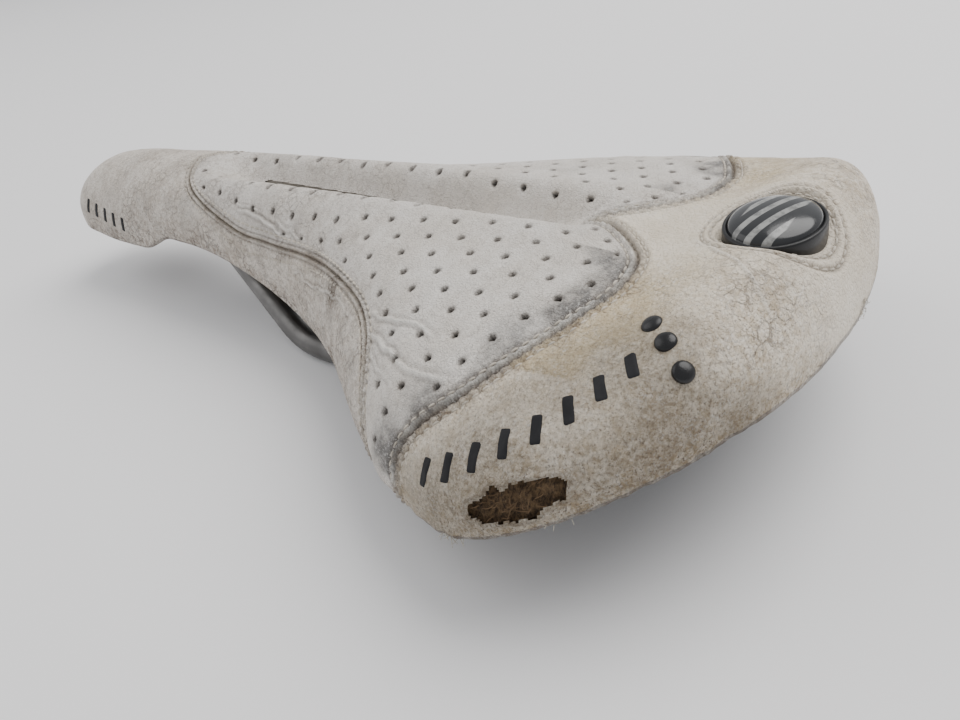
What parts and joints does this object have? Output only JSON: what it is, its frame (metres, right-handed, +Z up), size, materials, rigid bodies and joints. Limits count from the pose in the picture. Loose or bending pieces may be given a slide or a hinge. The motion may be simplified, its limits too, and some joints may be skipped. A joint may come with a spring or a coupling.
{
  "type": "bicycle saddle",
  "caption": "Worn road saddle with perforated gel panels, bound seams, a domed oval badge, a nylon base shell and two round rails",
  "frame": {"origin": "on the floor plane under the middle of the saddle's box; the rails' lowest line is at z = 0", "axes": "+Z up, +Y towards the nose, +X towards the rider's right"},
  "size_m": [0.1388, 0.275, 0.0542],
  "materials": {
    "perforated_leather": "matte, worn, perforated",
    "smooth_leather": "worn cream, scuffed and stained",
    "seam_binding": "stitched and frayed",
    "liner_leather": "matte",
    "foam": "open-cell foam, aged brown",
    "gel": "soft translucent gel",
    "shell_plastic": "moulded nylon",
    "rail_metal": "satin grey rod",
    "screw_metal": "zinc plated",
    "bush_rubber": "matte elastomer",
    "badge_plastic": "gloss black",
    "badge_print": "printed grey on black",
    "badge_resin": "domed clear resin over a dark ground"
  },
  "bodies": {
    "root": {"badge_cup": "badge_plastic", "badge_disc": "badge_print", "badge_dome": "badge_resin", "badge_surround": "smooth_leather", "base_shell": "shell_plastic", "channel_liner": "liner_leather", "cover_hem": "liner_leather", "cover_nose": "smooth_leather", "cover_panel_left": "perforated_leather", "cover_panel_right": "perforated_leather", "cover_rear": "smooth_leather", "foam_pad": "foam", "gel_insert_left": "gel", "gel_insert_right": "gel", "nose_clip_block": "shell_plastic", "nose_clip_plate": "shell_plastic", "nose_clip_screws": "screw_metal", "rail_left": "rail_metal", "rail_right": "rail_metal", "rear_bush_left": "bush_rubber", "rear_bush_right": "bush_rubber", "rear_socket_left": "shell_plastic", "rear_socket_right": "shell_plastic", "seam_band_rear_left": "seam_binding", "seam_band_rear_right": "seam_binding", "seam_band_side_left": "seam_binding", "seam_band_side_right": "seam_binding", "studs": "badge_plastic"}
  },
  "joints": []
}
